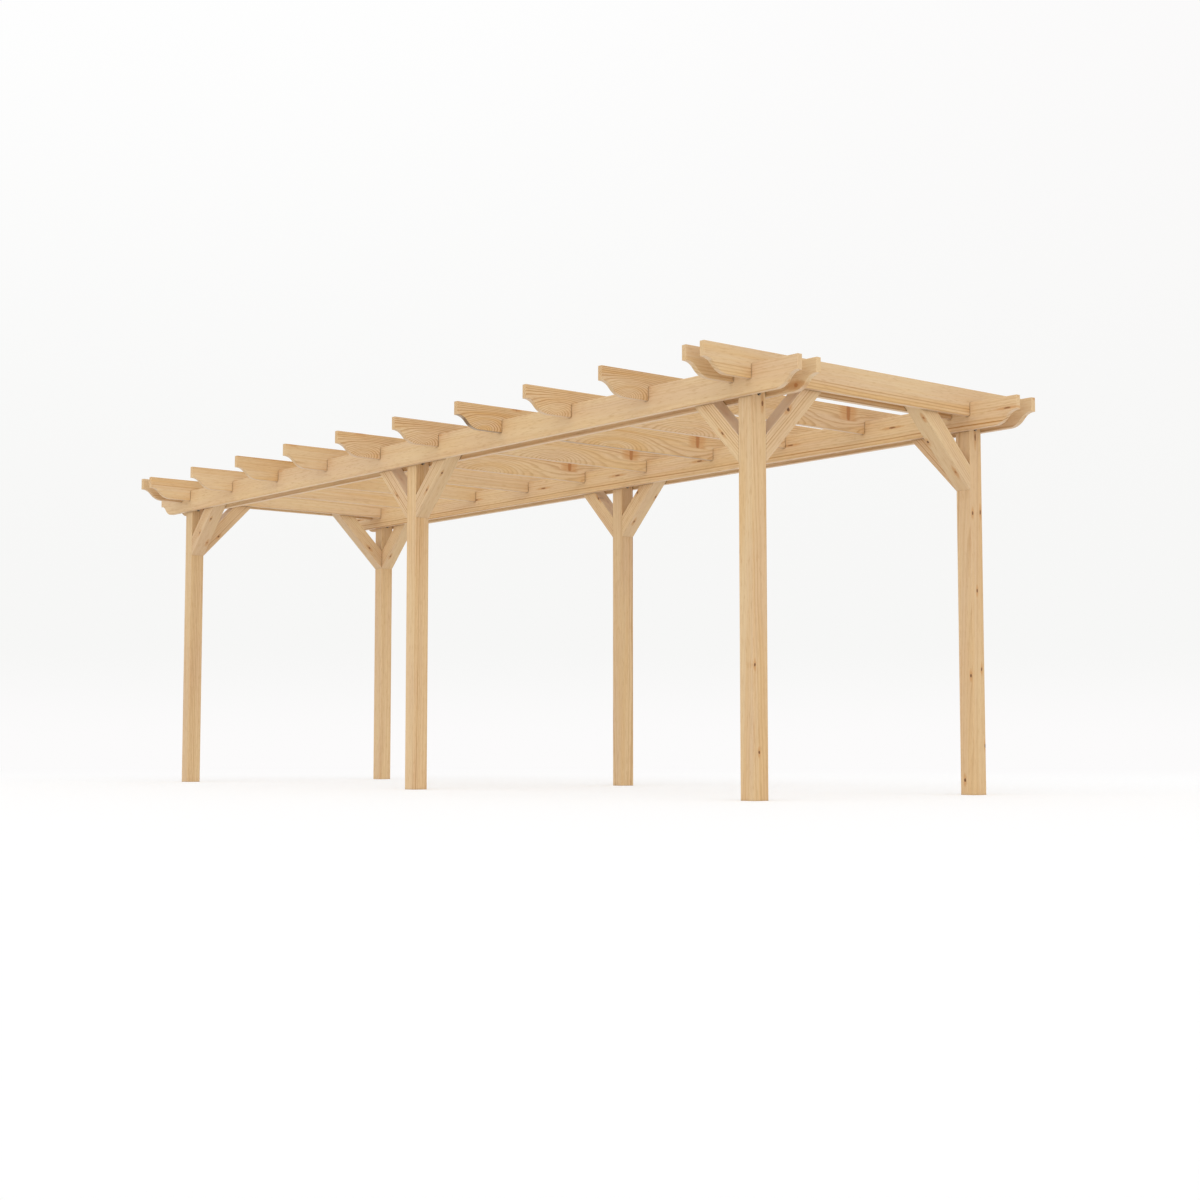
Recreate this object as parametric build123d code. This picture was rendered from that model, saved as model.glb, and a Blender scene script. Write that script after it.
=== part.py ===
from build123d import *
import os
from math import acos, cos, radians, sin, tan

# Garden pergola of planed softwood, an open post-and-beam frame that stands on six posts.
# Millimetres. X runs along the length, Y across the width and Z up from the ground.
# The origin is on the ground, at the middle of the plan.

# Plan
POST_NAMES = ("left", "middle", "right")  # the posts of a row, from -X to +X
BAY = 3070.0  # between post centres along a row
ROW_SPACING = 1714.0  # between the centre lines of the two rows
RAFTER_GAPS = 9  # equal gaps between the inner rafters of the two end pairs

# Timber sections
POST_SIDE = 100.0  # posts, and the braces' thickness between the boards
BRACE_DEPTH = 100.0  # across the brace, in the plane that it stiffens
BOARD_THICKNESS = 33.0
BOARD_DEPTH = 153.0
ARRIS = 1.5  # planed bevel along every long edge

# Heights
HEADROOM = 2061.0  # ground to the underside of the long beams
LAP = 76.0  # how deep the rafters are notched over the beams
BRACE_DROP = 336.0  # how far a brace's foot is below the long beams
BRACE_ANGLE = 45.0

# Board ends
BEAM_OVERHANG = 410.0  # from a corner post's centre to a long beam's end
RAFTER_OVERHANG = 409.0  # from a row's centre line to a rafter's end
END_FACE = 79.0  # upright face of the scrolled end
NOSE = 6.0  # level step behind that face
HOLLOW_RADIUS = 87.0
FULL_RADIUS = 117.0

# Room left beside a beam in a rafter's notch
NOTCH_CLEARANCE = 0.5

beam_top = HEADROOM + BOARD_DEPTH
rafter_bottom = beam_top - LAP
brace_foot = HEADROOM - BRACE_DROP
row_length = (len(POST_NAMES) - 1) * BAY
row_ways = (("front", -1), ("back", 1))  # each row's side of the frame
beside_post = POST_SIDE / 2 + BOARD_THICKNESS / 2  # post centre to the centre of a board beside it


def post_x(place):
    """Give the X of a post by its place in the row."""
    return place * BAY - row_length / 2


def board(length):
    """Make a board on edge along X, its underside at Z = 0, with both ends scrolled."""
    end = length / 2
    nose_z = BOARD_DEPTH - END_FACE
    sweep = acos(1 - nose_z / (HOLLOW_RADIUS + FULL_RADIUS))
    hollow_x = end - NOSE
    full_x = hollow_x - (HOLLOW_RADIUS + FULL_RADIUS) * sin(sweep)

    def hollow(angle):
        return (hollow_x - HOLLOW_RADIUS * sin(angle), nose_z - HOLLOW_RADIUS * (1 - cos(angle)))

    def full(angle):
        return (full_x + FULL_RADIUS * sin(angle), FULL_RADIUS * (1 - cos(angle)))

    upper = Polyline((0, BOARD_DEPTH), (end, BOARD_DEPTH), (end, nose_z), hollow(0))
    scroll = ThreePointArc(hollow(0), hollow(sweep / 2), hollow(sweep))
    scroll += ThreePointArc(full(sweep), full(sweep / 2), full(0))
    lower = Line(full(0), (0, 0))
    half_outline = upper + scroll + lower
    outline = half_outline + mirror(half_outline, about=Plane.YZ)
    blank = extrude(Plane.XZ * make_face(outline.edges()), BOARD_THICKNESS / 2, both=True)
    long_edges = blank.edges().filter_by(lambda edge: abs(edge.center().Y) > BOARD_THICKNESS / 2 - ARRIS / 2)
    return chamfer(long_edges, ARRIS)


def make_post():
    """Make a post on the Z axis, from the ground to the top of the beams."""
    blank = Pos(0, 0, beam_top / 2) * Box(POST_SIDE, POST_SIDE, beam_top)
    return chamfer(blank.edges().filter_by(Axis.Z), ARRIS)


def make_rafter():
    """Make a rafter along Y that is notched over the four long beams."""
    blank = Rot(0, 0, 90) * board(ROW_SPACING + 2 * RAFTER_OVERHANG)
    notch = Box(2 * BOARD_THICKNESS, BOARD_THICKNESS + 2 * NOTCH_CLEARANCE, LAP,
                align=(Align.CENTER, Align.CENTER, Align.MIN))
    for row_y in (-ROW_SPACING / 2, ROW_SPACING / 2):
        for side in (-1, 1):
            blank -= Pos(0, row_y + side * beside_post, 0) * notch
    return blank


def make_brace(top):
    """Make a knee brace that rises towards +X from a post on the Z axis, cut level at height top."""
    face_x = POST_SIDE / 2
    slope = tan(radians(BRACE_ANGLE))
    upright_cut = BRACE_DEPTH / cos(radians(BRACE_ANGLE))
    outline = Polyline(
        (face_x, brace_foot),
        (face_x, brace_foot + upright_cut),
        (face_x + (top - brace_foot - upright_cut) / slope, top),
        (face_x + (top - brace_foot) / slope, top),
        close=True,
    )
    blank = extrude(Plane.XZ * make_face(outline), POST_SIDE / 2, both=True)
    along = Axis((0, 0, 0), (1, 0, slope))
    return chamfer(blank.edges().filter_by(along), ARRIS)


def place_posts():
    """Stand the posts in two rows."""
    post = make_post()
    return {
        f"post_{row}_{name}": Pos(post_x(place), way * ROW_SPACING / 2, 0) * post
        for row, way in row_ways
        for place, name in enumerate(POST_NAMES)
    }


def place_beams():
    """Lay a beam against each side of each row of posts."""
    beam = board(row_length + 2 * BEAM_OVERHANG)
    return {
        f"beam_{row}_{side}": Pos(0, way * (ROW_SPACING / 2 + step * beside_post), HEADROOM) * beam
        for row, way in row_ways
        for side, step in (("outer", 1), ("inner", -1))
    }


def place_rafters():
    """Lay the rafters across the beams, in a pair at each end and one at a time between."""
    first = -row_length / 2 + beside_post
    gap = -2 * first / RAFTER_GAPS
    places = [-row_length / 2 - beside_post]
    places += [first + i * gap for i in range(RAFTER_GAPS + 1)]
    places += [row_length / 2 + beside_post]
    rafter = make_rafter()
    return {f"rafter_{i:02d}": Pos(x, 0, rafter_bottom) * rafter for i, x in enumerate(places, 1)}


def place_row_braces():
    """Set the braces that rise along each row to the rafters' undersides, one towards each neighbouring post."""
    brace = make_brace(rafter_bottom)
    last = len(POST_NAMES) - 1
    braces = {}
    for row, way in row_ways:
        for place, post in enumerate(POST_NAMES):
            for side, turn in (("left", 180), ("right", 0)):
                if place == (0 if side == "left" else last):
                    continue
                name = post if place in (0, last) else f"{post}_{side}"
                braces[f"brace_{row}_{name}"] = Pos(post_x(place), way * ROW_SPACING / 2, 0) * Rot(0, 0, turn) * brace
    return braces


def place_end_braces():
    """Set the braces that rise from each corner post towards the other row, between the paired rafters."""
    brace = make_brace(beam_top)
    return {
        f"end_brace_{POST_NAMES[place]}_{row}":
            Pos(post_x(place), way * ROW_SPACING / 2, 0) * Rot(0, 0, -way * 90) * brace
        for place in (0, len(POST_NAMES) - 1)
        for row, way in row_ways
    }


pieces = {**place_posts(), **place_beams(), **place_rafters(), **place_row_braces(), **place_end_braces()}

os.makedirs("parts", exist_ok=True)
for name, piece in pieces.items():
    export_step(piece, f"parts/{name}.step")
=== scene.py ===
import math
import random

import bmesh
import bpy
from mathutils import Euler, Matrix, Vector


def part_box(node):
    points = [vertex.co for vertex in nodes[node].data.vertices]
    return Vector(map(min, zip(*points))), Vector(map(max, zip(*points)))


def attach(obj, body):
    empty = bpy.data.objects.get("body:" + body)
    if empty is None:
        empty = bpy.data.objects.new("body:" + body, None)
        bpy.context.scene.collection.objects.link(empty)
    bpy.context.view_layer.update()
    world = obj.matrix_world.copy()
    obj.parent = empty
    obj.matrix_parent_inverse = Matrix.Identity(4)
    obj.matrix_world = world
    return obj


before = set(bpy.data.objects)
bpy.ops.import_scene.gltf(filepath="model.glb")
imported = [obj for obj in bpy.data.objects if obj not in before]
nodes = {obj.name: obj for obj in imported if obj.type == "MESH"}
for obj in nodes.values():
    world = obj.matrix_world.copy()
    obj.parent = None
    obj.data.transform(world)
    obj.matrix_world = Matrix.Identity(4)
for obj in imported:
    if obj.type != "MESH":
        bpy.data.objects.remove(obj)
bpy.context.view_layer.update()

# The dressed pergola: planed pine on every timber, and the zinc bolts through the posts.
# Metres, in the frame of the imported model: X along the length, Y across the width, Z up.

# Camera, found by fitting the timbers' edges to the photograph
CAMERA_PLACE = (9.8647, -7.4380, 0.2849)
CAMERA_YAW = 50.651  # degrees from +Y towards -X
CAMERA_RISE = 4.442  # degrees above the horizon
LENS = 55.68
SENSOR = 36.0

# Softened arrises
WELD = 0.00001
ARRIS_ROUND = 0.0006
ARRIS_STEPS = 2
SHARP_ANGLE = math.radians(32)

# Zinc bolt through each post, half behind the beams' lower edges
BOLT_RISE = 0.0185
WASHER_RADIUS = 0.015
WASHER_THICKNESS = 0.0025
HEAD_ACROSS = 0.017
HEAD_HEIGHT = 0.0100
HEAD_BEVEL = 0.0012

# Noise in the pine: cells a metre along, through and across the grain
RAGGED_CELLS = (60, 110, 110)  # edges of knots
WAVE_CELLS = (2.6, 16, 16)  # slow bends of the rings
RIPPLE_CELLS = (9, 80, 80)
FIBRE_CELLS = (9, 600, 600)
STREAK_CELLS = (1.1, 70, 70)
CLOUD_CELLS = (1.3, 9, 9)
FLECK_CELLS = (18, 170, 170)
WHORL_CELLS = (160, 200, 200)  # inside live knots
WAVE_HEIGHT = 0.006
RIPPLE_HEIGHT = 0.0012

# Shares of colour that the pine's marks take
STREAK_HONEY = 0.5
BAND_HONEY = 0.7
WARM_HONEY = 0.4
FIBRE_TINT = 0.30
FLECK_TINT = 0.32
END_TINT = 0.30
HALO_TINT = 0.65
WHORL_TINT = 0.35
BOUNCE_TINT = 0.45

# The pine's surface
PINE_ROUGHNESS = 0.50
FIBRE_ROUGHNESS = 0.16
LATE_ROUGHNESS = -0.08
LATE_RELIEF = 0.35
FIBRE_RELIEF = 0.5
KNOT_RELIEF = -0.8
PINE_SPECULAR = 0.30
PINE_BUMP = 0.35
PINE_BUMP_HEIGHT = 0.0008

# How near other timbers are where painted shade darkens corners and recesses, and how much noise frays its
# edge
NOOK_REACH = 0.014
RECESS_REACH = 0.09
ZINC_NOOK_REACH = 0.02
REACH_SAMPLES = 6
SHADE_FRAY = 1.1
SHADE_FRAY_CELLS = 240.0

# Studio
FLOOR_RADIUS = 90.0
FLOOR_GREY = (0.90, 0.90, 0.90, 1.0)
FLOOR_LIFT = 0.13  # what the camera sees on top of the lit floor, so that it is white beside the shadows
FAR_WAY = (-0.77, 0.63, 0.0)  # from the camera over the floor
FLOOR_FADE = (0.5, 9.0)  # how far that way the floor starts and ends to turn into the far white
FLOOR_EDGE = (20.0, 60.0)  # how far from the middle it does so on every side
SKY_LIGHT = (0.72, 0.72, 0.72, 1.0)
SKY_GREYEST = 0.055  # height of a view's direction at which the backdrop is greyest
SKY_FADE = 0.45  # and at which it has turned white
SKY_SIDE = (0.45, 0.90)  # share of Y in a view's direction at which the backdrop's right side dims
KEY_STRENGTH = 1.48
KEY_SOFTNESS = math.radians(120)
KEY_FROM = (0.85, -0.80, 0.62)


def srgb(red, green, blue):
    """Give a picture colour, 0 to 255, as the linear colour that the nodes take."""
    def linear(value):
        share = value / 255
        return share / 12.92 if share <= 0.04045 else ((share + 0.055) / 1.055) ** 2.4
    return (linear(red), linear(green), linear(blue), 1.0)


# Colours of bare pine
SPRING_WOOD = srgb(223, 194, 151)
PINK_WOOD = srgb(218, 187, 149)
HONEY_WOOD = srgb(214, 172, 113)
SUMMER_WOOD = srgb(176, 124, 66)
LIVE_KNOT = srgb(182, 120, 70)
DEAD_KNOT = srgb(106, 68, 38)
KNOT_BARK = srgb(92, 60, 36)
KNOT_HALO = srgb(196, 140, 82)
END_WOOD = srgb(216, 182, 136)
DARK_UNDERSIDE = srgb(112, 86, 58)
# Painted shade for corners and recesses
CORNER_PAINTED_SHADE = srgb(128, 98, 66)
UPPER_GREY_WOOD = srgb(224, 200, 174)
# Painted light bounced up from the floor onto the undersides
BOUNCE_LIT_WOOD = srgb(232, 210, 184)

# Colours of the fixings and the studio
ZINC = srgb(186, 184, 178)
DULL_ZINC = srgb(150, 150, 148)
# Painted shadow and painted shade on the bolt heads
ZINC_PAINTED_SHADOW = srgb(70, 58, 46)
FAR_WHITE = srgb(252, 251, 251)
FAR_GREY = srgb(247, 247, 246)
SIDE_WHITE = srgb(251, 250, 250)
WHITE = (1.0, 1.0, 1.0, 1.0)


class Graph:
    """Write shader nodes as plain sums. A value is a number, a tuple or another node's output."""

    def __init__(self, tree):
        self.tree = tree

    def put(self, socket, value):
        if isinstance(value, bpy.types.NodeSocket):
            self.tree.links.new(value, socket)
        else:
            socket.default_value = value

    def add(self, kind, inputs=None, **settings):
        node = self.tree.nodes.new(kind)
        for name, value in settings.items():
            setattr(node, name, value)
        for name, value in (inputs or {}).items():
            self.put(node.inputs[name], value)
        return node

    def use(self, group, inputs):
        return self.add("ShaderNodeGroup", inputs, node_tree=group).outputs

    def sum(self, operation, *values):
        node = self.add("ShaderNodeMath", operation=operation)
        for socket, value in zip(node.inputs, values):
            self.put(socket, value)
        return node.outputs["Value"]

    def vector(self, operation, *values, out="Vector"):
        node = self.add("ShaderNodeVectorMath", operation=operation)
        for socket, value in zip(node.inputs, values):
            self.put(socket, value)
        return node.outputs[out]

    def scale(self, place, factor):
        node = self.add("ShaderNodeVectorMath", {"Vector": place, "Scale": factor}, operation="SCALE")
        return node.outputs["Vector"]

    def step(self, value, low, high, start=0.0, end=1.0):
        """Run smoothly from start to end as the value goes from low to high."""
        places = {"Value": value, "From Min": low, "From Max": high, "To Min": start, "To Max": end}
        return self.add("ShaderNodeMapRange", places, interpolation_type="SMOOTHSTEP").outputs["Result"]

    def noise(self, place, scale=1.0, detail=2.0, out="Fac"):
        node = self.add("ShaderNodeTexNoise", {"Vector": place, "Scale": scale, "Detail": detail})
        return node.outputs[out]

    def grain_noise(self, place, cells, detail):
        """Give noise with so many cells a metre along, through and across the grain."""
        return self.noise(self.vector("MULTIPLY", place, cells), 1.0, detail)

    def mix(self, share, first, second, blend="MIX"):
        """Mix two colours. The node's sockets for colours come after those for numbers and vectors."""
        node = self.add("ShaderNodeMix", data_type="RGBA", blend_type=blend)
        self.put(node.inputs[0], share)
        self.put(node.inputs[6], first)
        self.put(node.inputs[7], second)
        return node.outputs[2]

    def openness(self, reach):
        """Give 1 in the open and less where something stands within reach."""
        node = self.add("ShaderNodeAmbientOcclusion", {"Distance": reach}, samples=REACH_SAMPLES)
        return node.outputs["AO"]

    def split(self, place):
        node = self.add("ShaderNodeSeparateXYZ", {"Vector": place})
        return node.outputs["X"], node.outputs["Y"], node.outputs["Z"]

    def join(self, x, y, z):
        return self.add("ShaderNodeCombineXYZ", {"X": x, "Y": y, "Z": z}).outputs["Vector"]


def new_group(name, inputs, outputs):
    """Start a node group. Inputs are name: (socket kind, start value), outputs are name: socket kind."""
    tree = bpy.data.node_groups.new(name, "ShaderNodeTree")
    for label, (kind, value) in inputs.items():
        socket = tree.interface.new_socket(name=label, in_out="INPUT", socket_type="NodeSocket" + kind)
        socket.default_value = value
    for label, kind in outputs.items():
        tree.interface.new_socket(name=label, in_out="OUTPUT", socket_type="NodeSocket" + kind)
    graph = Graph(tree)
    return graph, graph.add("NodeGroupInput").outputs


def new_material(name):
    """Start a material with no nodes in it."""
    material = bpy.data.materials.new(name)
    material.use_nodes = True
    material.node_tree.nodes.clear()
    return material, Graph(material.node_tree)


def end_group(graph, results):
    """Lead the results to the group's outputs."""
    end = graph.add("NodeGroupOutput")
    for name, value in results.items():
        graph.put(end.inputs[name], value)
    return graph.tree


# What a knot hands on: how far it pushes the rings aside, and masks of its parts
MARKS = ("Push", "Heart", "Rim", "Halo", "Dark")


def knot_group():
    """A branch knot, or a row of them along the grain. It adds its marks to those of the knots before it."""
    g, given = new_group("branch knot", {
        "Vector": ("Vector", (0, 0, 0)),
        "Centre": ("Vector", (0, 0, 0)),
        "Way": ("Vector", (0, 1, 0)),
        "Spacing": ("Float", 100.0),
        "Radius": ("Float", 0.008),
        "Stretch": ("Float", 1.5),
        "Depth": ("Float", 0.06),
        "Sway": ("Float", 0.006),
        "Dead": ("Float", 0.0),
        **{mark: ("Float", 0.0) for mark in MARKS},
    }, {mark: "Float" for mark in MARKS})
    along, through, across = g.split(g.vector("SUBTRACT", given["Vector"], given["Centre"]))
    half = g.sum("MULTIPLY", given["Spacing"], 0.5)
    along = g.sum("WRAP", along, half, g.sum("MULTIPLY", half, -1.0))
    offset = g.join(along, through, across)
    squeezed = g.join(g.sum("DIVIDE", along, given["Stretch"]), through, across)
    ragged = g.grain_noise(given["Vector"], RAGGED_CELLS, 2)
    reach = g.sum("MULTIPLY_ADD", ragged, 0.7, 0.65)
    beside = g.vector("CROSS_PRODUCT", squeezed, given["Way"])
    distance = g.sum("DIVIDE", g.vector("LENGTH", beside, out="Value"), given["Radius"])
    rough = g.sum("MULTIPLY", distance, reach)
    height = g.vector("DOT_PRODUCT", offset, given["Way"], out="Value")
    inside = g.step(g.sum("ADD", height, given["Depth"]), 0.0, 0.012)
    heart = g.sum("MULTIPLY", g.step(rough, 0.62, 1.10, 1.0, 0.0), inside)
    ring = g.sum("MULTIPLY", g.step(rough, 0.70, 0.95), g.step(rough, 1.02, 1.35, 1.0, 0.0))
    rim = g.sum("MULTIPLY", g.sum("MULTIPLY", ring, inside), given["Dead"])
    long_way = g.sum("DIVIDE", g.sum("DIVIDE", along, given["Stretch"]), given["Radius"])
    wide = g.sum("MULTIPLY", distance, distance)
    wide = g.sum("MULTIPLY_ADD", long_way, g.sum("MULTIPLY", long_way, -0.78), wide)
    frayed = g.sum("MULTIPLY", wide, g.sum("MULTIPLY", reach, reach))
    halo = g.sum("MULTIPLY", g.step(frayed, 0.5, 7.0, 1.0, 0.0), inside)
    bulge = g.sum("EXPONENT", g.sum("MULTIPLY", wide, -0.16))
    push = g.sum("MULTIPLY", g.sum("MULTIPLY", bulge, given["Sway"]), inside)
    return end_group(g, {
        "Push": g.sum("ADD", given["Push"], push),
        "Heart": g.sum("MAXIMUM", given["Heart"], heart),
        "Rim": g.sum("MAXIMUM", given["Rim"], rim),
        "Halo": g.sum("MAXIMUM", given["Halo"], halo),
        "Dark": g.sum("MAXIMUM", given["Dark"], g.sum("MULTIPLY", heart, given["Dead"])),
    })


RING_INPUTS = {
    "Vector": ("Vector", (0, 0, 0)),
    "Seed": ("Float", 0.0),
    "Pith": ("Vector", (0, 0.1, 0)),
    "Lean": ("Vector", (0, 0, 0)),
    "Ring Width": ("Float", 0.007),
    "Wander": ("Float", 0.01),
    "Snake": ("Float", 0.0),
    "Snake Place": ("Float", 0.0),
    "Snake Spacing": ("Float", 1.0),
    "Even": ("Float", 0.2),
    "Push": ("Float", 0.0),
}


def rings_group():
    """Growth rings round a pith that leans, wanders and may snake. They are arches where it leaves a face."""
    results = {"Late": "Float", "Ring Tone": "Float", "Band": "Float"}
    g, given = new_group("growth rings", RING_INPUTS, results)
    along, through, across = g.split(given["Vector"])
    shift = g.sum("MULTIPLY", given["Seed"], 7.31)
    drift = g.noise(g.join(g.sum("MULTIPLY_ADD", along, 0.9, shift), shift, 0.0), 1.0, 2, out="Color")
    wander = g.scale(g.vector("SUBTRACT", drift, (0.5, 0.5, 0.5)), given["Wander"])
    lean = g.scale(given["Lean"], along)
    pith = g.vector("ADD", g.vector("ADD", given["Pith"], lean), wander)
    _, out_through, out_across = g.split(g.vector("SUBTRACT", given["Vector"], pith))
    turn = g.sum("SUBTRACT", along, given["Snake Place"])
    turn = g.sum("SUBTRACT", turn, g.sum("MULTIPLY", out_across, 0.7))
    turn = g.sum("MULTIPLY", g.sum("DIVIDE", turn, given["Snake Spacing"]), math.pi)
    sideways = g.sum("MULTIPLY_ADD", g.sum("SINE", g.sum("MULTIPLY", turn, 2.0)), -0.15, g.sum("SINE", turn))
    held = g.sum("SQRT", g.sum("MULTIPLY_ADD", g.sum("MULTIPLY", sideways, sideways), 1.44, 1.0))
    sideways = g.sum("MULTIPLY", g.sum("DIVIDE", sideways, held), given["Snake"])
    sideways = g.sum("MULTIPLY", sideways, g.step(out_across, 0.05, 0.15, 1.0, 0.3))
    out_through = g.sum("ADD", out_through, sideways)
    radius = g.vector("LENGTH", g.join(0.0, out_through, out_across), out="Value")

    seeded = g.vector("ADD", given["Vector"], g.join(shift, shift, shift))
    waves = g.grain_noise(seeded, WAVE_CELLS, 2)
    ripple = g.grain_noise(seeded, RIPPLE_CELLS, 2)
    bent = g.sum("MULTIPLY_ADD", g.sum("SUBTRACT", waves, 0.5), WAVE_HEIGHT, radius)
    bent = g.sum("MULTIPLY_ADD", g.sum("SUBTRACT", ripple, 0.5), RIPPLE_HEIGHT, bent)
    bent = g.sum("ADD", bent, given["Push"])

    count = g.sum("DIVIDE", bent, given["Ring Width"])
    years = g.noise(g.join(g.sum("MULTIPLY_ADD", count, 0.45, shift), 0.0, 0.0), 1.0, 1)
    uneven = g.sum("MULTIPLY_ADD", given["Even"], -1.1, 1.2)
    count = g.sum("MULTIPLY_ADD", g.sum("SUBTRACT", years, 0.5), uneven, count)
    season = g.sum("FRACT", g.sum("ADD", count, 50.0))
    late = g.sum("MULTIPLY", g.step(season, 0.42, 0.86), g.step(season, 0.91, 1.0, 1.0, 0.0))
    year = g.sum("FLOOR", g.sum("ADD", count, 50.0))
    tone = g.add("ShaderNodeTexWhiteNoise", {"W": g.sum("ADD", year, shift)}, noise_dimensions="1D")
    tone = tone.outputs["Value"]
    band = g.join(g.sum("MULTIPLY_ADD", count, 0.30, shift), g.sum("MULTIPLY", along, 0.6), shift)
    band = g.noise(band, 1.0, 1)
    return end_group(g, {"Late": late, "Ring Tone": tone, "Band": g.step(band, 0.48, 0.68)})


def pine_group(rings):
    """Planed pine: ring lines, fibres, soft changes of tone, knots, end grain, painted shade in corners and
    recesses, and painted bounce light on undersides.
    """
    g, given = new_group("planed pine", {
        **RING_INPUTS,
        "Contrast": ("Float", 0.6),
        "Honey": ("Float", 0.3),
        "Plain": ("Float", 0.4),
        "Warm From": ("Float", 0.0),
        "Warm To": ("Float", 0.03),
        "Light": ("Float", 1.0),
        "End": ("Float", 0.0),
        "Dark Underside": ("Float", 0.0),
        "Painted Shade": ("Float", 0.0),
        "Upper Grey": ("Float", 0.0),
        "Painted Bounce": ("Float", 0.0),
        **{mark: ("Float", 0.0) for mark in MARKS if mark not in RING_INPUTS},
    }, {"Color": "Color", "Roughness": "Float", "Height": "Float"})
    ring = g.use(rings, {name: given[name] for name in RING_INPUTS})
    shift = g.sum("MULTIPLY", given["Seed"], 3.17)
    seeded = g.vector("ADD", given["Vector"], g.join(shift, shift, shift))
    fibre = g.grain_noise(seeded, FIBRE_CELLS, 3)
    streak = g.grain_noise(seeded, STREAK_CELLS, 3)
    cloud = g.grain_noise(seeded, CLOUD_CELLS, 2)
    fleck = g.grain_noise(seeded, FLECK_CELLS, 3)

    ground = g.mix(g.step(cloud, 0.30, 0.70), SPRING_WOOD, PINK_WOOD)
    across = g.split(given["Vector"])[2]
    across = g.sum("MULTIPLY_ADD", g.sum("SUBTRACT", cloud, 0.5), 0.02, across)
    warm = g.step(across, given["Warm From"], given["Warm To"])
    honey = g.sum("MULTIPLY", g.step(streak, 0.38, 0.72), STREAK_HONEY)
    honey = g.sum("MULTIPLY_ADD", warm, WARM_HONEY, honey)
    honey = g.sum("MULTIPLY_ADD", ring["Band"], BAND_HONEY, honey)
    honey = g.sum("MULTIPLY", honey, given["Honey"])
    ground = g.mix(honey, ground, HONEY_WOOD)
    tone = g.sum("MULTIPLY_ADD", g.sum("POWER", ring["Ring Tone"], 2.2), 0.80, 0.20)
    tone = g.sum("ADD", tone, g.sum("MULTIPLY", g.sum("SUBTRACT", 0.6, tone), given["Even"]))
    strength = g.sum("MULTIPLY", tone, given["Contrast"])
    plain = g.sum("ADD", given["Plain"], g.sum("MULTIPLY", g.sum("SUBTRACT", 1.0, given["Plain"]), warm))
    strength = g.sum("MULTIPLY", strength, plain)
    patchy = g.sum("MULTIPLY_ADD", g.step(cloud, 0.35, 0.65), 0.4, 0.7)
    late = g.sum("MULTIPLY", g.sum("MULTIPLY", ring["Late"], strength), patchy)
    wood = g.mix(late, ground, SUMMER_WOOD)
    wood = g.mix(g.step(fibre, 0.50, 0.78, 0.0, FIBRE_TINT), wood, SUMMER_WOOD)
    wood = g.mix(g.step(fleck, 0.52, 0.74, 0.0, FLECK_TINT), wood, SUMMER_WOOD)
    wood = g.mix(g.sum("MULTIPLY", given["End"], END_TINT), wood, END_WOOD)

    wood = g.mix(g.sum("MULTIPLY", given["Halo"], HALO_TINT), wood, KNOT_HALO)
    whorl = g.grain_noise(seeded, WHORL_CELLS, 2)
    live = g.mix(g.step(whorl, 0.3, 0.7, 0.0, WHORL_TINT), LIVE_KNOT, KNOT_HALO)
    heart = g.mix(given["Dark"], live, DEAD_KNOT)
    wood = g.mix(given["Heart"], wood, heart)
    wood = g.mix(given["Rim"], wood, KNOT_BARK)
    wood = g.mix(given["Dark Underside"], wood, DARK_UNDERSIDE)
    # Painted bounce light: undersides are paler
    wood = g.mix(given["Painted Bounce"], wood, BOUNCE_LIT_WOOD)
    # The upper sides of sloping timbers are paler and greyer
    wood = g.mix(given["Upper Grey"], wood, UPPER_GREY_WOOD)
    # Painted shade: the wood darkens where other timbers stand near, in corners and recesses
    wood = g.mix(given["Painted Shade"], wood, CORNER_PAINTED_SHADE)
    shade = g.join(given["Light"], given["Light"], given["Light"])
    wood = g.mix(1.0, wood, shade, "MULTIPLY")

    rough = g.sum("MULTIPLY_ADD", fibre, FIBRE_ROUGHNESS, PINE_ROUGHNESS)
    rough = g.sum("MULTIPLY_ADD", late, LATE_ROUGHNESS, rough)
    height = g.sum("MULTIPLY_ADD", late, LATE_RELIEF, g.sum("MULTIPLY", fibre, FIBRE_RELIEF))
    height = g.sum("MULTIPLY_ADD", given["Rim"], KNOT_RELIEF, height)
    return end_group(g, {"Color": wood, "Roughness": rough, "Height": height})
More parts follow.
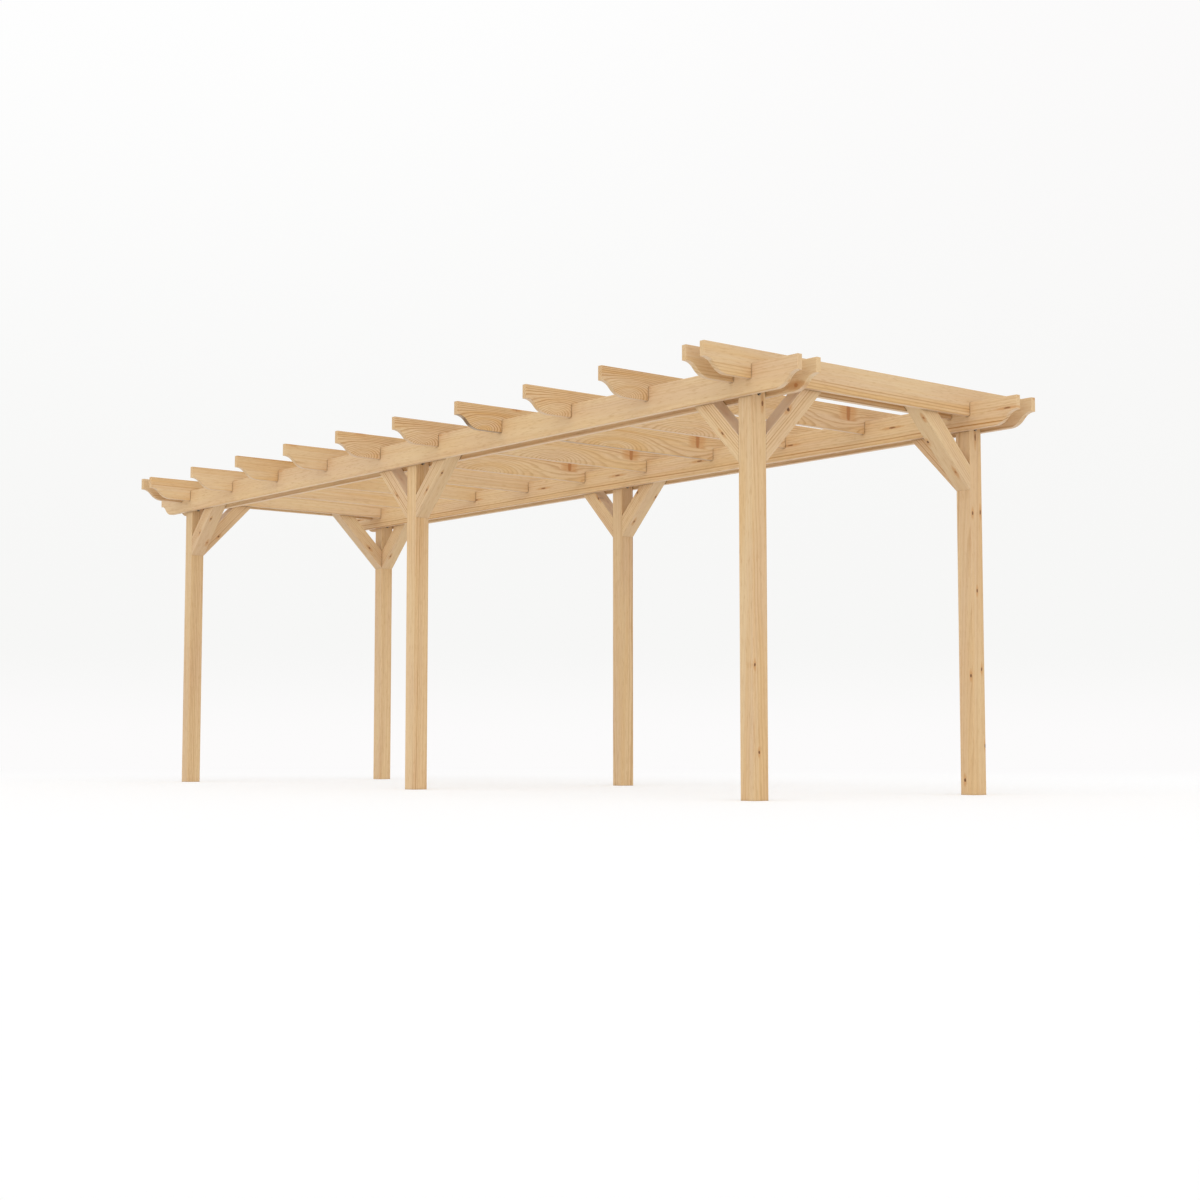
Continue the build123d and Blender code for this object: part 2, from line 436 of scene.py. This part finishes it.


# How each kind of timber was sawn. Pith is beside the middle, through and across the board, and spread is
# how much it differs between timbers. Rings are more or less even, and plain is their strength outside the
# warm band, which starts and is full at two places across the board. Snake is how far the pith swings, one
# place where it crosses the middle, and how far apart such places are. Front is how much stronger the rings
# are in the front overhang. A last share, for braces, makes the upper sides of sloping timbers paler and
# greyer.
CUTS = {
    "post": {"pith": (0.070, 0.060), "spread": 0.010, "lean": 0.015, "ring": 0.0090, "wander": 0.010,
             "contrast": 0.95, "even": 0.1, "plain": 0.50, "honey": 0.35, "warm": (-0.02, -0.05)},
    "banded post": {"pith": (0.060, 0.100), "spread": 0.002, "lean": -0.030, "ring": 0.0095, "wander": 0.014,
                    "contrast": 0.50, "even": 0.0, "plain": 0.40, "honey": 0.40, "warm": (-0.03, -0.05)},
    "bold post": {"pith": (0.100, -0.060), "spread": 0.002, "lean": 0.035, "ring": 0.0095, "wander": 0.012,
                  "contrast": 0.90, "even": 0.0, "plain": 0.60, "honey": 0.28, "warm": (0.00, -0.04)},
    "beam": {"pith": (0.100, -0.030), "spread": 0.010, "lean": 0.0015, "ring": 0.0085, "wander": 0.008,
             "contrast": 0.90, "even": 0.0, "plain": 0.35, "honey": 0.20, "warm": (-0.03, -0.06)},
    "old beam": {"pith": (0.050, -0.140), "spread": 0.010, "lean": 0.004, "ring": 0.0150, "wander": 0.016,
                 "contrast": 1.15, "even": 0.2, "plain": 0.35, "honey": 0.42, "warm": (-0.025, -0.045)},
    "arched rafter": {"pith": (-0.0165, -0.076), "spread": 0.0, "lean": 0.0, "ring": 0.0090, "wander": 0.006,
                      "contrast": 1.05, "even": 0.7, "plain": 0.75, "honey": 0.60, "warm": (0.00, 0.045),
                      "snake": (0.153, -0.05, 1.02), "front": 1.45},
    "straight rafter": {"pith": (0.050, -0.040), "spread": 0.010, "lean": 0.006, "ring": 0.0090,
                        "wander": 0.012, "contrast": 1.00, "even": 0.1, "plain": 0.50, "honey": 0.65,
                        "warm": (0.02, 0.06)},
    "end rafter": {"pith": (0.060, -0.170), "spread": 0.004, "lean": 0.008, "ring": 0.0150, "wander": 0.020,
                   "contrast": 0.95, "even": 0.7, "plain": 0.08, "honey": 0.50, "warm": (-0.010, -0.030)},
    "brace": {"pith": (0.010, -0.060), "spread": 0.008, "lean": 0.010, "ring": 0.0130, "wander": 0.015,
              "contrast": 0.95, "even": 0.0, "plain": 0.20, "honey": 0.18, "warm": (0.010, 0.030),
              "upper_grey": 0.6},
}


class Timber:
    """How one piece was cut: its place, the way its grain runs, its pith and its knots."""

    def __init__(self, name, cut, tilt, turn, seed):
        self.name = name
        self.cut = CUTS[cut]
        low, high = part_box(name)
        self.centre = (low + high) / 2
        self.turn = Euler((0, math.radians(tilt), math.radians(turn)))
        self.draw = random.Random(seed)
        self.seed = seed * 1.37
        self.knots = []
        corners = [self.to_grain(corner.co) for corner in nodes[name].data.vertices]
        self.low = Vector([min(corner[axis] for corner in corners) for axis in range(3)])
        self.high = Vector([max(corner[axis] for corner in corners) for axis in range(3)])

    def to_grain(self, place):
        """Turn a place of the frame into the piece's own: along, through and across the grain."""
        return self.turn.to_matrix().inverted() @ (Vector(place) - self.centre)

    def way_in_grain(self, way):
        return self.turn.to_matrix().inverted() @ Vector(way)

    def way_in_frame(self, way):
        return self.turn.to_matrix() @ Vector(way)

    def add_knot(self, place, way, radius, stretch, dead, depth=0.05, sway=0.5, spacing=100.0):
        self.knots.append({
            "Centre": tuple(self.to_grain(place)),
            "Way": tuple(self.way_in_grain(way)),
            "Spacing": spacing,
            "Radius": radius,
            "Stretch": stretch,
            "Depth": depth,
            "Sway": radius * sway,
            "Dead": dead,
        })


CORNER_CUTS = {("front", "right"): "banded post", ("back", "right"): "bold post"}


def read_timbers():
    """List the timbers by how they lie. The grain runs along X before it is tilted and turned."""
    rows = ("front", "back")
    lying = []
    for row in rows:
        for post in ("left", "middle", "right"):
            lying.append((f"post_{row}_{post}", CORNER_CUTS.get((row, post), "post"), -90, 0))
        lying.append((f"beam_{row}_outer", "beam", 0, 0))
        lying.append((f"beam_{row}_inner", "beam" if row == "front" else "old beam", 0, 0))
        for post, turn in (("left", 0), ("middle_left", 180), ("middle_right", 0), ("right", 180)):
            lying.append((f"brace_{row}_{post}", "brace", -45, turn))
    for end in ("left", "right"):
        for row, turn in (("front", 90), ("back", -90)):
            lying.append((f"end_brace_{end}_{row}", "brace", -45, turn))
    cuts = ["end rafter"] + ["straight rafter"] * 4 + ["arched rafter"] * 5 + ["end rafter"] * 2
    for number, cut in enumerate(cuts, 1):
        lying.append((f"rafter_{number:02d}", cut, 0, 90))
    return {name: Timber(name, *way, seed) for seed, (name, *way) in enumerate(lying, 1)}


# Knots that the photograph shows: timber, place, the face's outward way, radius, stretch along the grain
# and how dead, from 0 to 1
SEEN_KNOTS = (
    ("post_front_right", (3.120, -0.897, 0.685), (1, 0, 0), 0.0046, 1.6, 0.9),
    ("post_front_right", (3.120, -0.871, 0.244), (1, 0, 0), 0.0048, 1.5, 0.9),
    ("post_front_right", (3.120, -0.832, 2.026), (1, 0, 0), 0.0055, 2.2, 0.8),
    ("post_back_right", (3.120, 0.825, 1.591), (1, 0, 0), 0.0048, 1.8, 0.9),
    ("post_back_right", (3.120, 0.892, 1.602), (1, 0, 0), 0.0046, 2.4, 0.8),
    ("post_back_right", (3.120, 0.854, 1.151), (1, 0, 0), 0.0048, 1.8, 0.9),
    ("post_back_right", (3.105, 0.807, 0.669), (0, -1, 0), 0.0050, 1.7, 1.0),
    ("post_back_right", (3.120, 0.882, 0.707), (1, 0, 0), 0.0048, 1.8, 0.9),
    ("post_back_right", (3.051, 0.807, 0.083), (0, -1, 0), 0.0054, 1.6, 1.0),
    ("post_back_right", (3.120, 0.903, 0.276), (1, 0, 0), 0.0044, 2.0, 0.8),
    ("post_back_right", (3.120, 0.857, 2.030), (1, 0, 0), 0.0050, 3.5, 0.8),
    ("brace_front_right", (2.900, -0.907, 1.891), (0, -1, 0), 0.0040, 2.6, 0.7),
    ("brace_front_right", (2.888, -0.863, 1.999), (0.7, 0, 0.7), 0.0110, 1.2, 0.1),
    ("end_brace_right_front", (3.120, -0.645, 2.016), (0.7, -0.5, 0.5), 0.0065, 1.3, 1.0),
    ("end_brace_right_back", (3.032, 0.552, 1.981), (0, -0.7, -0.7), 0.0055, 1.2, 1.0),
    ("end_brace_right_back", (3.101, 0.436, 2.096), (0, -0.7, -0.7), 0.0065, 1.2, 0.2),
    ("end_brace_right_back", (3.093, 0.714, 1.819), (0, -0.7, -0.7), 0.0065, 1.6, 0.2),
    ("brace_front_left", (-2.764, -0.882, 1.981), (0.7, 0, -0.7), 0.0048, 1.3, 1.0),
    ("brace_front_left", (-2.892, -0.907, 1.885), (0, -1, 0), 0.0042, 2.2, 0.7),
    ("brace_front_left", (-2.928, -0.827, 1.817), (0.7, 0, -0.7), 0.0060, 1.3, 0.2),
    ("brace_front_middle_right", (0.306, -0.883, 1.981), (0.7, 0, -0.7), 0.0046, 1.3, 1.0),
    ("brace_front_middle_right", (0.173, -0.907, 1.886), (0, -1, 0), 0.0044, 2.2, 0.7),
    ("brace_front_middle_left", (-0.169, -0.907, 1.886), (0, -1, 0), 0.0044, 2.0, 0.6),
    ("brace_front_middle_left", (-0.180, -0.866, 1.997), (0.7, 0, 0.7), 0.0080, 1.8, 0.2),
    ("brace_back_left", (-2.926, 0.829, 1.820), (0.7, 0, -0.7), 0.0058, 1.3, 0.6),
    ("brace_back_middle_left", (-0.208, 0.807, 2.016), (0, -1, 0), 0.0060, 1.6, 0.9),
    ("brace_back_middle_left", (-0.176, 0.868, 1.992), (0.7, 0, 0.7), 0.0080, 1.8, 0.2),
    ("brace_back_middle_right", (0.145, 0.836, 1.820), (0.7, 0, -0.7), 0.0058, 1.4, 0.6),
    ("brace_back_middle_right", (0.305, 0.894, 1.980), (0.7, 0, -0.7), 0.0044, 1.3, 1.0),
    ("brace_back_middle_right", (0.216, 0.807, 2.013), (0, -1, 0), 0.0048, 1.8, 1.0),
    ("end_brace_left_front", (-3.020, -0.682, 1.883), (1, 0, 0), 0.0050, 1.6, 0.9),
    ("end_brace_left_back", (-3.020, 0.686, 1.886), (1, 0, 0), 0.0058, 1.6, 0.7),
    ("beam_front_inner", (3.337, -0.807, 2.091), (0, -1, 0), 0.0120, 1.3, 0.1),
)
BEAM_KNOT_X = 0.041
BEAM_KNOT_Z = 2.148
BEAM_KNOT_SPACING = 0.8435
RAFTER_KNOT = (0.637, 2.262)  # Y and Z of the branch that runs out at the top of the rafters' wide faces


def mark_seen_knots(timbers):
    """Put the knots of the photograph where it shows them."""
    for name, place, way, radius, stretch, dead in SEEN_KNOTS:
        timbers[name].add_knot(place, way, radius, stretch, dead)
    beam = timbers["beam_back_inner"]
    place = (BEAM_KNOT_X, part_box(beam.name)[0].y, BEAM_KNOT_Z)
    beam.add_knot(place, (0, -1, 0), 0.0042, 5.0, 0.6, spacing=BEAM_KNOT_SPACING)
    for number in range(6, 12):
        rafter = timbers[f"rafter_{number:02d}"]
        y = RAFTER_KNOT[0] + rafter.draw.uniform(-0.004, 0.004)
        place = (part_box(rafter.name)[1].x, y, RAFTER_KNOT[1])
        way = Vector((0.2, 0.03, 1)).normalized()
        rafter.add_knot(place, way, 0.0165, 1.0, 0.15, depth=0.062, sway=0.25)


SIDES = ((0, 1, 0), (0, 0, 1), (0, -1, 0), (0, 0, -1))
SCATTERED_KNOTS = 3


def scatter_knots(timber):
    """Put a few more knots on the sides that the photograph doesn't show."""
    unseen = []
    for side in SIDES:
        way = timber.way_in_frame(side)
        if way.x < 0.5 and way.y > -0.5 and way.z > -0.9:
            unseen.append(side)
    for _ in range(SCATTERED_KNOTS):
        side = timber.draw.choice(unseen)
        radius = timber.draw.uniform(0.003, 0.0075)
        place = []
        for axis, (low, high) in enumerate(zip(timber.low, timber.high)):
            share = timber.draw.uniform(0.12, 0.88)
            if side[axis]:
                share = (side[axis] + 1) / 2
            place.append(low + share * (high - low))
        timber.knots.append({
            "Centre": tuple(place),
            "Way": side,
            "Spacing": timber.draw.uniform(1.1, 2.3),
            "Radius": radius,
            "Stretch": timber.draw.uniform(1.2, 2.0),
            "Depth": 0.02,
            "Sway": radius * 0.5,
            "Dead": timber.draw.choice((0.1, 0.3, 0.9, 1.0)),
        })


FRONT_OVERHANG = (-0.97, -0.88)  # along a rafter, where the stronger rings of its front end fade
DARK_UNDERSIDE_RAFTER = "rafter_08"  # its underside is darkened along its length, most at the front end


def pine_material(timber, knot, pine):
    """Give one timber its own bare pine, with its knots in it."""
    cut = timber.cut
    draw = timber.draw
    material, g = new_material("pine_" + timber.name)
    place = g.add("ShaderNodeMapping", {
        "Vector": g.add("ShaderNodeTexCoord").outputs["Object"],
        "Location": timber.centre,
        "Rotation": timber.turn,
    }, vector_type="TEXTURE").outputs["Vector"]
    marks = {mark: 0.0 for mark in MARKS}
    for values in timber.knots:
        outputs = g.use(knot, {"Vector": place, **values, **marks})
        marks = {mark: outputs[mark] for mark in MARKS}
    normal = g.add("ShaderNodeNewGeometry").outputs["Normal"]
    facing = g.vector("DOT_PRODUCT", normal, timber.way_in_frame((1, 0, 0)), out="Value")
    # Painted shade in corners and recesses, from how open the surface is within a short and a longer reach
    nook = g.openness(NOOK_REACH)
    fray = g.sum("SUBTRACT", g.noise(place, SHADE_FRAY_CELLS, 3), 0.5)
    recess = g.sum("MULTIPLY_ADD", fray, SHADE_FRAY, g.openness(RECESS_REACH))
    spread = cut["spread"]
    pith = (0, cut["pith"][0] + draw.uniform(-spread, spread), cut["pith"][1] + draw.uniform(-spread, spread))
    snake, snake_place, snake_spacing = cut.get("snake", (0.0, 0.0, 1.0))
    outputs = g.use(pine, {
        "Vector": place,
        "Seed": timber.seed,
        "Pith": pith,
        "Lean": (0, cut["lean"] * draw.uniform(0.6, 1.2), cut["lean"] * draw.uniform(-0.3, 0.3)),
        "Ring Width": cut["ring"] * draw.uniform(0.93, 1.1),
        "Wander": cut["wander"],
        "Snake": snake,
        "Snake Place": snake_place + draw.uniform(-0.02, 0.02),
        "Snake Spacing": snake_spacing,
        "Contrast": cut["contrast"] * draw.uniform(0.9, 1.1),
        "Honey": cut["honey"] * draw.uniform(0.8, 1.2),
        "Even": cut["even"],
        "Plain": cut["plain"],
        "Warm From": cut["warm"][0],
        "Warm To": cut["warm"][1],
        "Light": draw.uniform(0.97, 1.02),
        "End": g.step(g.sum("ABSOLUTE", facing), 0.60, 0.95),
        "Painted Shade": g.sum("MAXIMUM", g.step(nook, 0.30, 0.85, 0.65, 0.0), g.step(recess, 0.05, 0.42, 0.40, 0.0)),
        "Upper Grey": g.step(g.split(normal)[2], 0.15, 0.60, 0.0, cut.get("upper_grey", 0.0)),
        # Painted bounce light on faces that look down
        "Painted Bounce": g.step(g.split(normal)[2], -0.95, -0.75, BOUNCE_TINT, 0.0),
        **marks,
    })
    if "front" in cut:
        contrast = outputs["Color"].node.inputs["Contrast"]
        overhang = g.step(g.split(place)[0], *FRONT_OVERHANG, cut["front"], 1.0)
        g.put(contrast, g.sum("MULTIPLY", overhang, contrast.default_value))
    bump = g.add("ShaderNodeBump", {"Strength": PINE_BUMP, "Distance": PINE_BUMP_HEIGHT,
                                    "Height": outputs["Height"]})
    wood = g.add("ShaderNodeBsdfPrincipled", {
        "Base Color": outputs["Color"],
        "Roughness": outputs["Roughness"],
        "Specular IOR Level": PINE_SPECULAR,
        "Normal": bump.outputs["Normal"],
    })
    # This rafter's underside is darker along its length, most at its front end
    if timber.name == DARK_UNDERSIDE_RAFTER:
        down = g.step(g.split(normal)[2], -0.55, -0.15, 1.0, 0.0)
        share = g.step(g.split(place)[0], -0.95, -0.80, 0.85, 0.40)
        g.put(outputs["Color"].node.inputs["Dark Underside"], g.sum("MULTIPLY", down, share))
    g.add("ShaderNodeOutputMaterial", {"Surface": wood.outputs["BSDF"]})
    return material


def soften(node):
    """Ease the arrises of a timber as a plane or sandpaper does."""
    weld = node.modifiers.new("join facets", "WELD")
    weld.merge_threshold = WELD
    ease = node.modifiers.new("eased arris", "BEVEL")
    ease.width = ARRIS_ROUND
    ease.segments = ARRIS_STEPS
    ease.limit_method = "ANGLE"
    ease.angle_limit = SHARP_ANGLE
    ease.harden_normals = True


def zinc_material():
    """Zinc-plated steel with a fine spangle, its one half darkened with a painted shadow and its nooks with
    painted shade.
    """
    material, g = new_material("zinc_plate")
    place = g.add("ShaderNodeTexCoord").outputs["Object"]
    spangle = g.noise(place, 420.0, 3)
    colour = g.mix(g.step(spangle, 0.35, 0.65), ZINC, DULL_ZINC)
    # Painted shade where other parts stand near, and a painted shadow over one half of the head
    nook = g.openness(ZINC_NOOK_REACH)
    painted_shadow_side = g.step(g.split(place)[1], -0.004, 0.002, 1.0, 0.0)
    colour = g.mix(g.sum("MAXIMUM", g.step(nook, 0.35, 0.80, 0.9, 0.0), painted_shadow_side), colour, ZINC_PAINTED_SHADOW)
    bump = g.add("ShaderNodeBump", {"Strength": 0.2, "Distance": 0.0002, "Height": spangle})
    steel = g.add("ShaderNodeBsdfPrincipled", {
        "Base Color": colour,
        "Metallic": 0.9,
        "Roughness": g.sum("MULTIPLY_ADD", spangle, 0.25, 0.28),
        "Normal": bump.outputs["Normal"],
    })
    g.add("ShaderNodeOutputMaterial", {"Surface": steel.outputs["BSDF"]})
    return material


def add_prism(mesh, sides, radius, start, end, bevel):
    """Add a prism along X between two places, with its outer edge bevelled."""
    rings = []
    for x, r in ((start, radius), (end - bevel, radius), (end, radius - bevel)):
        turn = [2 * math.pi * (i + 0.5) / sides for i in range(sides)]
        rings.append([mesh.verts.new((x, r * math.cos(t), r * math.sin(t))) for t in turn])
    for lower, upper in zip(rings, rings[1:]):
        for i in range(sides):
            j = (i + 1) % sides
            mesh.faces.new((lower[i], lower[j], upper[j], upper[i]))
    mesh.faces.new(rings[-1])
    mesh.faces.new(rings[0][::-1])


def make_bolt(name, place, way, material):
    """Make a bolt's washer and hexagon head that stand on a face looking along X."""
    mesh = bmesh.new()
    head_radius = HEAD_ACROSS / 2 / math.cos(math.pi / 6)
    add_prism(mesh, 32, WASHER_RADIUS, 0.0, WASHER_THICKNESS, WASHER_THICKNESS / 3)
    add_prism(mesh, 6, head_radius, WASHER_THICKNESS, WASHER_THICKNESS + HEAD_HEIGHT, HEAD_BEVEL)
    bmesh.ops.recalc_face_normals(mesh, faces=mesh.faces)
    data = bpy.data.meshes.new(name)
    mesh.to_mesh(data)
    mesh.free()
    data.materials.append(material)
    piece = bpy.data.objects.new(name, data)
    bpy.context.scene.collection.objects.link(piece)
    piece.location = place
    if way < 0:
        piece.rotation_euler = (0, 0, math.pi)
    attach(piece, "root")


def make_bolts(material):
    """Put a bolt head on each side of every post."""
    for row in ("front", "back"):
        bolt_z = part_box(f"beam_{row}_outer")[0].z + BOLT_RISE
        for post in ("left", "middle", "right"):
            low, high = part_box(f"post_{row}_{post}")
            for side, face, way in (("left", low.x, -1), ("right", high.x, 1)):
                make_bolt(f"bolt_{row}_{post}_{side}", (face, (low.y + high.y) / 2, bolt_z), way, material)


def shown_ray(g):
    """Give 1 for what the camera sees, straight or in metal, and 0 for the rays that light the object."""
    path = g.add("ShaderNodeLightPath").outputs
    straight = g.sum("MAXIMUM", path["Is Camera Ray"], path["Is Glossy Ray"])
    return g.sum("MAXIMUM", straight, path["Is Transmission Ray"])


def floor_material():
    """A pale floor. The camera sees it white near by, with its real shadows, and as the backdrop far off."""
    material, g = new_material("studio_floor")
    place = g.add("ShaderNodeTexCoord").outputs["Object"]
    away = g.step(g.vector("DOT_PRODUCT", place, FAR_WAY, out="Value"), *FLOOR_FADE)
    far_out = g.step(g.vector("LENGTH", place, out="Value"), *FLOOR_EDGE)
    seen = shown_ray(g)
    real = g.add("ShaderNodeBsdfDiffuse", {"Color": FLOOR_GREY}).outputs["BSDF"]
    lift = g.add("ShaderNodeEmission", {"Color": WHITE, "Strength": g.sum("MULTIPLY", seen, FLOOR_LIFT)})
    near = g.add("ShaderNodeAddShader")
    g.put(near.inputs[0], real)
    g.put(near.inputs[1], lift.outputs["Emission"])
    far = g.add("ShaderNodeEmission", {"Color": FAR_WHITE}).outputs["Emission"]
    both = g.add("ShaderNodeMixShader", {"Fac": g.sum("MULTIPLY", seen, g.sum("MAXIMUM", away, far_out))})
    g.put(both.inputs[1], near.outputs["Shader"])
    g.put(both.inputs[2], far)
    g.add("ShaderNodeOutputMaterial", {"Surface": both.outputs["Shader"]})
    return material


def make_floor():
    """Lay the plain pale floor."""
    mesh = bmesh.new()
    bmesh.ops.create_circle(mesh, cap_ends=True, segments=96, radius=FLOOR_RADIUS)
    data = bpy.data.meshes.new("studio_floor")
    mesh.to_mesh(data)
    mesh.free()
    data.materials.append(floor_material())
    floor = bpy.data.objects.new("studio_floor", data)
    bpy.context.scene.collection.objects.link(floor)


def light_studio():
    """Light the frame softly and evenly, as a white tent does, with a soft key from the front."""
    world = bpy.data.worlds.new("studio")
    world.use_nodes = True
    world.node_tree.nodes.clear()
    g = Graph(world.node_tree)
    _, side, height = g.split(g.add("ShaderNodeTexCoord").outputs["Generated"])
    low = g.mix(g.step(height, 0.0, SKY_GREYEST), FAR_WHITE, FAR_GREY)
    high = g.mix(g.step(side, *SKY_SIDE), WHITE, SIDE_WHITE)
    backdrop = g.mix(g.step(height, SKY_GREYEST, SKY_FADE), low, high)
    sky = g.add("ShaderNodeBackground", {"Color": g.mix(shown_ray(g), SKY_LIGHT, backdrop)})
    g.add("ShaderNodeOutputWorld", {"Surface": sky.outputs["Background"]})
    bpy.context.scene.world = world

    key = bpy.data.lights.new("key", "SUN")
    key.energy = KEY_STRENGTH
    key.angle = KEY_SOFTNESS
    lamp = bpy.data.objects.new("key", key)
    lamp.rotation_euler = Vector(KEY_FROM).to_track_quat("Z", "Y").to_euler()
    bpy.context.scene.collection.objects.link(lamp)


def set_camera():
    """Stand the camera where the photograph was taken from."""
    data = bpy.data.cameras.new("camera")
    data.lens = LENS
    data.sensor_width = SENSOR
    camera = bpy.data.objects.new("camera", data)
    camera.location = CAMERA_PLACE
    camera.rotation_euler = (math.radians(90 + CAMERA_RISE), 0, math.radians(CAMERA_YAW))
    bpy.context.scene.collection.objects.link(camera)
    bpy.context.scene.camera = camera


timbers = read_timbers()
mark_seen_knots(timbers)
branch_knot = knot_group()
planed_pine = pine_group(rings_group())
for timber in timbers.values():
    scatter_knots(timber)
    node = nodes[timber.name]
    node.data.materials.clear()
    node.data.materials.append(pine_material(timber, branch_knot, planed_pine))
    soften(node)

make_bolts(zinc_material())
make_floor()
light_studio()
set_camera()
bpy.context.scene.view_settings.view_transform = "Standard"
